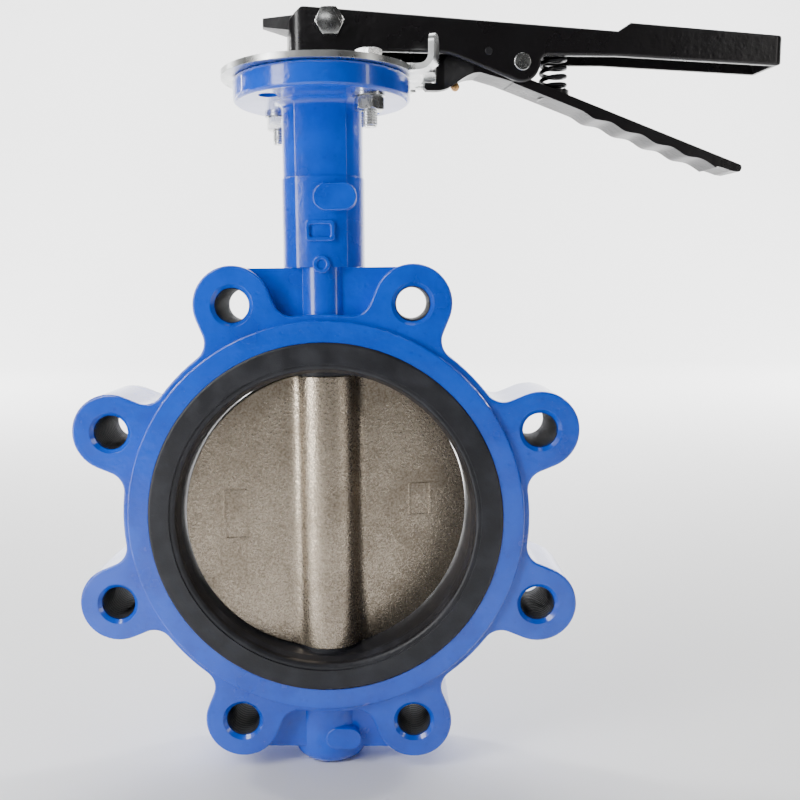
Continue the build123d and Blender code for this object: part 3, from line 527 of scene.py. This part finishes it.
DRESSING: dict[str, Finish] = {
    "body": BLUE,
    "seat_liner": RUBBER,
    "disc": PLATED,
    "upper_stem": STAINLESS,
    "lower_stem": STAINLESS,
    "lower_stem_bush": ACETAL,
    "seat_end_bush": ACETAL,
    "middle_stem_bush": ACETAL,
    "top_stem_bush": ACETAL,
    "lower_thrust_pad": ACETAL,
    "stem_seals": SEAL,
    "dust_seal": SEAL,
    "stem_thrust_washer": ZINC,
    "stem_circlip": SPRING_CLIP,
    "notch_plate": ZINC,
    "plate_washers": FASTENER,
    "lever": BLACK,
    "trigger": BLACK,
    "pivot_pin": FASTENER,
    "pin_clip": SPRING_CLIP,
    "stop_pin": SPRING_CLIP,
    "pawl_rivet": BRASS,
}


# ---- meshes ------------------------------------------------------------------------------------------


def grid_mesh(name: str, points: np.ndarray, closed_ends: bool = False) -> bpy.types.Object:
    """Makes an object from rows of points that each run once round.

    Args:
        name: the object's name.
        points: rows by columns by 3, in metres.
        closed_ends: fills the first and last rows with a fan.

    Returns:
        The new object, linked to the scene.
    """
    rows, columns, _ = points.shape
    corners = points.reshape(-1, 3)
    faces = []
    for row in range(rows - 1):
        for column in range(columns):
            after = (column + 1) % columns
            low, high = row * columns, (row + 1) * columns
            faces.append((low + column, low + after, high + after, high + column))
    if closed_ends:
        faces.append(tuple(reversed(range(columns))))
        faces.append(tuple((rows - 1) * columns + column for column in range(columns)))
    return new_object(name, corners, faces)


def new_object(name: str, corners: np.ndarray, faces: Iterable[Sequence[int]]) -> bpy.types.Object:
    """Makes a smooth-shaded object from corners in metres and faces."""
    mesh = bpy.data.meshes.new(name)
    mesh.from_pydata([tuple(c) for c in corners], [], list(faces))
    mesh.validate()
    mesh.update()
    made = bpy.data.objects.new(name, mesh)
    bpy.context.scene.collection.objects.link(made)
    return made


def shade(piece: bpy.types.Object, finish: Finish, sharp_degrees: float = 34.0) -> None:
    """Puts a finish on a new mesh and smooths all but its sharp edges."""
    piece.data.materials.clear()
    piece.data.materials.append(finish.material())
    piece.data.shade_smooth()
    piece.data.set_sharp_from_angle(angle=math.radians(sharp_degrees))


def join_copies(name: str, piece: bpy.types.Object, places: Iterable[Matrix]) -> bpy.types.Object:
    """Makes one object out of copies of a mesh at several places, and removes the first.

    Args:
        name: the joined object's name.
        piece: the mesh to copy.
        places: where each copy stands.

    Returns:
        The joined object.
    """
    corners = np.array([v.co for v in piece.data.vertices])
    faces = [tuple(p.vertices) for p in piece.data.polygons]
    all_corners, all_faces = [], []
    for place in places:
        start = len(all_corners) * len(corners)
        rotation = np.array(place.to_3x3())
        all_corners.append(corners @ rotation.T + np.array(place.translation))
        all_faces.extend(tuple(start + i for i in face) for face in faces)
    bpy.data.objects.remove(piece)
    return new_object(name, np.concatenate(all_corners), all_faces)


@dataclass
class Hexagon:
    """A hexagon head or nut with its corners turned off, in millimetres."""

    across_flats: float = 13.0
    height: float = 5.3
    bore: float = 0.0
    both_ends: bool = False
    slope_degrees: float = 30.0
    columns: int = 96
    face_radius_share: float = 0.95
    closing_radius: float = 0.02

    @property
    def angles(self) -> np.ndarray:
        """Where the mesh's columns stand round the middle."""
        return np.linspace(0, 2 * math.pi, self.columns, endpoint=False)

    def _edge(self, angles: np.ndarray) -> np.ndarray:
        """How far the flats lie from the middle at each angle."""
        sixth = math.pi / 3
        return self.across_flats / 2 / np.cos((angles + sixth / 2) % sixth - sixth / 2)

    def rows(self) -> list[tuple[np.ndarray, np.ndarray]]:
        """Radius and height of each row, from the underside's middle to the top's middle."""
        edge = self._edge(self.angles)
        face = np.full_like(edge, self.across_flats / 2 * self.face_radius_share)
        cut = (edge - face) * math.tan(math.radians(self.slope_degrees))
        inner = np.full_like(edge, self.bore if self.bore else self.closing_radius)
        zero, top = np.zeros_like(edge), np.full_like(edge, self.height)
        lower = [(face, zero), (edge, cut)] if self.both_ends else [(edge, zero)]
        rows = [(inner, zero), *lower, (edge, top - cut), (face, top), (inner, top)]
        return rows + [(inner, zero)] if self.bore else rows

    def mesh(self, name: str) -> bpy.types.Object:
        """The hexagon standing on Z = 0."""
        cosines, sines = np.cos(self.angles), np.sin(self.angles)
        grid = [np.stack([r * cosines, r * sines, z], 1) for r, z in self.rows()]
        return grid_mesh(name, np.array(grid) * MM, closed_ends=not self.bore)


@dataclass
class Thread:
    """A screw thread cut as one helical surface, inside a hole or outside a bar, in millimetres."""

    crest: float
    root: float
    pitch: float
    length: float
    lead: float = 1.6
    columns: int = 64
    rows_per_turn: int = 8
    root_share: float = 0.12
    flank_share: float = 0.7

    def _profile(self, phase: np.ndarray) -> np.ndarray:
        """Share of the way from root to crest: a flat crest, a small flat root and straight flanks."""
        wave = np.abs((phase % 1.0) - 0.5) * 2
        return np.clip((wave - self.root_share) / self.flank_share, 0, 1)

    def points(self) -> np.ndarray:
        """Rows that follow the helix, cut flat at both ends and faded to the root there."""
        turns = int(self.length / self.pitch) + 2
        row = np.arange(turns * self.rows_per_turn + 1)[:, None]
        column = np.arange(self.columns)[None, :]
        travel = row / self.rows_per_turn + column / self.columns - 1.0
        along = np.clip(travel * self.pitch, 0.0, self.length)
        fade = np.clip(np.minimum(along, self.length - along) / self.lead, 0, 1)
        depth = self._profile(row / self.rows_per_turn + 0 * column) * fade
        radius = self.root + (self.crest - self.root) * depth
        angle = 2 * math.pi * column / self.columns + 0 * row
        return np.stack([radius * np.cos(angle), radius * np.sin(angle), along - self.length / 2], 2) * MM

    def mesh(self, name: str, solid: bool = False) -> bpy.types.Object:
        """The thread about Z, centred on its middle."""
        return grid_mesh(name, self.points(), closed_ends=solid)


@dataclass
class Coil:
    """A compression spring with closed, ground ends, in millimetres."""

    mean_radius: float
    wire_radius: float
    low: float
    high: float
    turns: float = 6.0
    dead_turns: float = 0.9
    ground_share: float = 0.55
    steps_per_turn: int = 64
    sides: int = 24

    def points(self) -> np.ndarray:
        """Rings of wire along the helix, with both ends ground flat."""
        count = int(self.turns * self.steps_per_turn) + 1
        turn = np.linspace(0, self.turns, count)
        rise_low = self.low + self.wire_radius * self.ground_share
        rise_high = self.high - self.wire_radius * self.ground_share
        dead = 2 * self.wire_radius * self.dead_turns
        active = np.clip((turn - self.dead_turns) / (self.turns - 2 * self.dead_turns), 0, 1)
        wound = np.clip(turn, 0, self.dead_turns) + np.clip(turn - self.turns + self.dead_turns, 0, None)
        height = rise_low + wound * dead / self.dead_turns + active * (rise_high - rise_low - 2 * dead)
        angle = 2 * math.pi * turn
        outward = np.stack([np.cos(angle), np.sin(angle), 0 * angle], 1)
        middle = outward * self.mean_radius + np.stack([0 * angle, 0 * angle, height], 1)
        along = np.gradient(middle, axis=0)
        along /= np.linalg.norm(along, axis=1, keepdims=True)
        across = np.cross(along, outward)
        side = np.linspace(0, 2 * math.pi, self.sides, endpoint=False)
        cosines, sines = np.cos(side)[None, :, None], np.sin(side)[None, :, None]
        ring = outward[:, None] * cosines + across[:, None] * sines
        points = middle[:, None] + ring * self.wire_radius
        points[..., 2] = np.clip(points[..., 2], self.low, self.high)
        return points * MM

    def mesh(self, name: str) -> bpy.types.Object:
        """The spring about Z."""
        return grid_mesh(name, self.points(), closed_ends=True)


def upright_to(direction: Vector) -> Matrix:
    """The rotation that carries +Z to a direction."""
    return direction.to_track_quat("Z", "Y").to_matrix().to_4x4()


# ---- sub-assemblies ----------------------------------------------------------------------------------


@dataclass
class CadNodes:
    """The sub-parts that keep their CAD mesh and only get a finish."""

    frame: Mapping[str, Any]
    dressing: Mapping[str, Finish]

    def dress(self) -> None:
        """Puts each node's finish in its material slots."""
        for node, finish in self.dressing.items():
            piece = self.frame["nodes"][node]
            piece.data.materials.clear()
            piece.data.materials.append(finish.material())
            LOG.info("%s wears %s", node, finish.name)


@dataclass
class LugThreads:
    """The tapped threads inside the eight lugs, in millimetres."""

    bolt_circle: float = 240.0
    count: int = 8
    first_degrees: float = 22.5
    crest: float = 8.35
    root: float = 8.93
    pitch: float = 2.5
    length: float = 44.2
    twist_degrees: float = 47.0

    def places(self) -> list[Matrix]:
        """Where each thread's middle lies, with its axis along the pipe."""
        places = []
        for i in range(self.count):
            angle = math.radians(self.first_degrees + 360 / self.count * i)
            middle = Vector((math.cos(angle), 0, math.sin(angle))) * self.bolt_circle / 2 * MM
            twist = Matrix.Rotation(math.radians(self.twist_degrees * i), 4, "Z")
            places.append(Matrix.Translation(middle) @ upright_to(Vector((0, 1, 0))) @ twist)
        return places

    def build(self) -> bpy.types.Object:
        """All the threads as one piece on the valve body."""
        one = Thread(self.crest, self.root, self.pitch, self.length).mesh("one_thread")
        threads = join_copies("lug_threads", one, self.places())
        shade(threads, THREAD, 60.0)
        LOG.info("lug_threads: %d threads", self.count)
        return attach(threads, Body.VALVE.value)


@dataclass
class PlateFasteners:
    """The two M8 bolts and nuts that hold the notch plate, in millimetres."""

    hole_circle: float = 70.0
    places_degrees: tuple[float, float] = (-45.0, 135.0)
    plate_top: float = 228.0
    shank_bottom: float = 197.0
    nut_top: float = 211.4
    nut_height: float = 6.8
    head_height: float = 5.3
    thread_crest: float = 4.0
    thread_root: float = 3.38
    pitch: float = 1.25
    thread_length: float = 22.0
    thread_lead: float = 1.0
    thread_columns: int = 40
    shank_columns: int = 48
    nut_bore: float = 3.8
    nut_turn_degrees: float = 15.0

    def _at(self, height: float, turn_degrees: float = 0.0) -> list[Matrix]:
        """The two bolt places at one height."""
        places = []
        for angle in map(math.radians, self.places_degrees):
            reach = self.hole_circle / 2
            middle = Vector((reach * math.cos(angle), reach * math.sin(angle), height)) * MM
            places.append(Matrix.Translation(middle) @ Matrix.Rotation(math.radians(turn_degrees), 4, "Z"))
        return places

    def _plain_shank(self) -> bpy.types.Object:
        """The unthreaded length under the head."""
        low = self.shank_bottom + self.thread_length
        angles = np.linspace(0, 2 * math.pi, self.shank_columns, endpoint=False)
        ring = np.stack([np.cos(angles), np.sin(angles)], 1) * self.thread_crest
        rows = [np.column_stack([ring, np.full(len(angles), z)]) for z in (low, self.plate_top)]
        return grid_mesh("one_shank", np.array(rows) * MM, closed_ends=True)

    def build(self) -> list[bpy.types.Object]:
        """Bolts and nuts, each pair one piece."""
        head = join_copies("plate_bolt_heads", Hexagon(height=self.head_height).mesh("one_head"),
                           self._at(self.plate_top))
        middle = self.shank_bottom + self.thread_length / 2
        size = (self.thread_crest, self.thread_root, self.pitch, self.thread_length)
        one = Thread(*size, lead=self.thread_lead, columns=self.thread_columns)
        threads = join_copies("plate_bolt_threads", one.mesh("one_thread", solid=True), self._at(middle))
        shanks = join_copies("plate_bolt_shanks", self._plain_shank(), self._at(0.0))
        nut = Hexagon(height=self.nut_height, bore=self.nut_bore, both_ends=True).mesh("one_nut")
        nut_places = self._at(self.nut_top - self.nut_height, self.nut_turn_degrees)
        nuts = join_copies("plate_nut_pair", nut, nut_places)
        pieces = [head, threads, shanks, nuts]
        for piece in pieces:
            shade(piece, FASTENER)
            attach(piece, Body.VALVE.value)
            LOG.info("%s: %d faces", piece.name, len(piece.data.polygons))
        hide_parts("plate_bolts")
        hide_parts("plate_nuts")
        return pieces


@dataclass
class SetBolt:
    """The hexagon bolt on the front of the lever's hub."""

    head_height: float = 5.3
    turn_degrees: float = 33.0
    along: float = 2.5
    hub_half_width: float = 12.5

    def build(self, lever_turn: float) -> bpy.types.Object:
        """The head on the hub's face.

        Args:
            lever_turn: how far the lever rests from the X axis, in radians.

        Returns:
            The bolt head.
        """
        low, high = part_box("set_bolt")
        outward = Vector((math.sin(lever_turn), -math.cos(lever_turn), 0))
        tilt = Matrix.Rotation(math.radians(self.turn_degrees), 4, "Z")
        head = Hexagon(height=self.head_height).mesh("set_bolt_head")
        way = Vector((math.cos(lever_turn), math.sin(lever_turn), 0))
        level = Vector((0, 0, (low.z + high.z) / 2))
        front = (way * self.along + outward * self.hub_half_width) * MM + level
        head.matrix_world = Matrix.Translation(front) @ upright_to(outward) @ tilt
        bpy.context.view_layer.update()
        shade(head, FASTENER)
        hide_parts("set_bolt")
        LOG.info("set_bolt_head at %s", tuple(round(v, 4) for v in front))
        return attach(head, Body.ROTOR.value)


@dataclass
class ReturnSpring:
    """The black coil between trigger and lever."""

    wire_radius: float = 1.15
    turns: float = 6.2
    squeezed_share: float = 0.6

    def build(self) -> bpy.types.Object:
        """A finely swept coil in place of the CAD spring."""
        low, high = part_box("return_spring")
        outer = (high.x - low.x + high.y - low.y) / 4 / MM
        coil = Coil(outer - self.wire_radius, self.wire_radius, low.z / MM, high.z / MM, self.turns)
        spring = coil.mesh("return_spring_coil")
        spring.location = ((low.x + high.x) / 2, (low.y + high.y) / 2, 0)
        bpy.context.view_layer.update()
        shade(spring, SPRING_WIRE, 50.0)
        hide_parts("return_spring")
        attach(spring, Body.ROTOR.value)
        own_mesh(spring)
        LOG.info("return_spring_coil: outer radius %.2f mm", outer)
        return spring


# ---- studio ------------------------------------------------------------------------------------------


@dataclass(frozen=True)
class Softbox:
    """One rectangular lamp that looks at the valve."""

    name: str
    place: Point
    aim: Point
    width: float
    height: float
    power: float
    colour: Colour = (1.0, 1.0, 1.0)

    def build(self) -> bpy.types.Object:
        """The lamp, turned to its aim."""
        lamp = bpy.data.lights.new(self.name, "AREA")
        lamp.shape = "RECTANGLE"
        lamp.size, lamp.size_y = self.width, self.height
        lamp.energy = self.power
        lamp.color = self.colour
        holder = bpy.data.objects.new(self.name, lamp)
        bpy.context.scene.collection.objects.link(holder)
        way = Vector(self.aim) - Vector(self.place)
        turn = way.to_track_quat("-Z", "Y").to_matrix().to_4x4()
        holder.matrix_world = Matrix.Translation(self.place) @ turn
        return holder


@dataclass
class Studio:
    """A pale paper sweep, soft lamps and an even sky."""

    floor_z: float = -0.1387
    half_width: float = 6.0
    front: float = -3.0
    back: float = 2.6
    wall: float = 5.0
    curve: float = 1.6
    curve_steps: int = 24
    sky: Colour = (1.0, 1.0, 1.0)
    sky_strength: float = 0.03

    def lamps(self) -> list[Softbox]:
        """Key from the upper left, a tall strip each side, lamps above, and the paper's own."""
        heart = (0.03, 0.0, 0.06)
        return [
            Softbox("key", (-0.7, -0.9, 1.0), heart, 0.3, 0.3, 2.2),
            Softbox("left_strip", (-0.55, -0.45, 0.3), (0.0, 0.0, 0.03), 0.2, 1.0, 7.0),
            Softbox("right_strip", (0.8, -0.42, 0.3), (0.02, 0.0, 0.03), 0.07, 0.9, 1.0, (1.0, 0.97, 0.93)),
            Softbox("over_camera", (0.1, -1.1, 0.75), heart, 0.5, 0.18, 0.5),
            Softbox("top", (0.1, 0.15, 1.3), heart, 1.0, 0.6, 3.4),
            Softbox("paper_left", (-2.2, 1.4, 1.4), (-0.6, 4.0, 0.3), 1.2, 1.2, 260.0),
            Softbox("paper_right", (2.2, 1.4, 1.4), (0.6, 4.0, 0.3), 1.2, 1.2, 260.0),
            Softbox("floor_wash", (0.0, 1.6, 2.0), (0.0, 1.1, -0.14), 2.4, 1.0, 60.0),
        ]

    def sweep(self) -> bpy.types.Object:
        """Floor and wall in one sheet with a round bend between."""
        bend = np.linspace(0, math.pi / 2, self.curve_steps)
        line = [(self.front, 0.0)]
        line += [(self.back + self.curve * math.sin(a), self.curve * (1 - math.cos(a))) for a in bend]
        line += [(self.back + self.curve, self.wall)]
        corners, faces = [], []
        for y, z in line:
            corners += [(-self.half_width, y, self.floor_z + z), (self.half_width, y, self.floor_z + z)]
        for i in range(len(line) - 1):
            faces.append((2 * i, 2 * i + 1, 2 * i + 3, 2 * i + 2))
        sheet = new_object("paper_sweep", np.array(corners), faces)
        shade(sheet, PAPER, 60.0)
        return sheet

    def build(self) -> None:
        """Sweep, lamps and sky."""
        self.sweep()
        for lamp in self.lamps():
            lamp.build()
        world = bpy.data.worlds.new("sky")
        world.use_nodes = True
        background = world.node_tree.nodes["Background"]
        background.inputs["Color"].default_value = (*self.sky, 1.0)
        background.inputs["Strength"].default_value = self.sky_strength
        bpy.context.scene.world = world
        LOG.info("studio: %d lamps", len(self.lamps()))


@dataclass
class Camera:
    """The camera a little to the right, looking slightly down and left."""

    place: Point = (0.03287, -0.47826, 0.11738)
    pitch_degrees: float = 82.635
    yaw_degrees: float = 1.629
    roll_degrees: float = -0.575
    lens: float = 40.35
    shift_x: float = 0.0471
    shift_y: float = 0.0088

    def build(self) -> bpy.types.Object:
        """The scene's camera."""
        data = bpy.data.cameras.new("camera")
        data.lens = self.lens
        data.shift_x, data.shift_y = self.shift_x, self.shift_y
        data.clip_start, data.clip_end = 0.02, 60.0
        holder = bpy.data.objects.new("camera", data)
        bpy.context.scene.collection.objects.link(holder)
        turn = Matrix.Rotation(math.radians(self.yaw_degrees), 4, "Z")
        turn @= Matrix.Rotation(math.radians(self.pitch_degrees), 4, "X")
        turn @= Matrix.Rotation(math.radians(self.roll_degrees), 4, "Z")
        holder.matrix_world = Matrix.Translation(self.place) @ turn
        bpy.context.scene.camera = holder
        LOG.info("camera at %s", self.place)
        return holder


def lever_rest_turn(frame: Mapping[str, Any]) -> float:
    """How far the lever rests from +X, in radians, from the trigger joint's place."""
    joint = next(j for j in frame["record"]["behaviour"]["joints"] if j["name"] == "trigger_squeeze")
    return math.atan2(joint["pos_m"][1], joint["pos_m"][0])


def main() -> None:
    """Builds every sub-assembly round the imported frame."""
    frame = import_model()
    CadNodes(frame, DRESSING).dress()
    builders: list[Callable[[], Any]] = [
        LugThreads().build,
        PlateFasteners().build,
        lambda: SetBolt().build(lever_rest_turn(frame)),
        ReturnSpring().build,
        Studio().build,
        Camera().build,
    ]
    for build in builders:
        build()


if __name__ == "__main__":
    logging.basicConfig(level=logging.INFO, format="%(name)s: %(message)s")
    main()
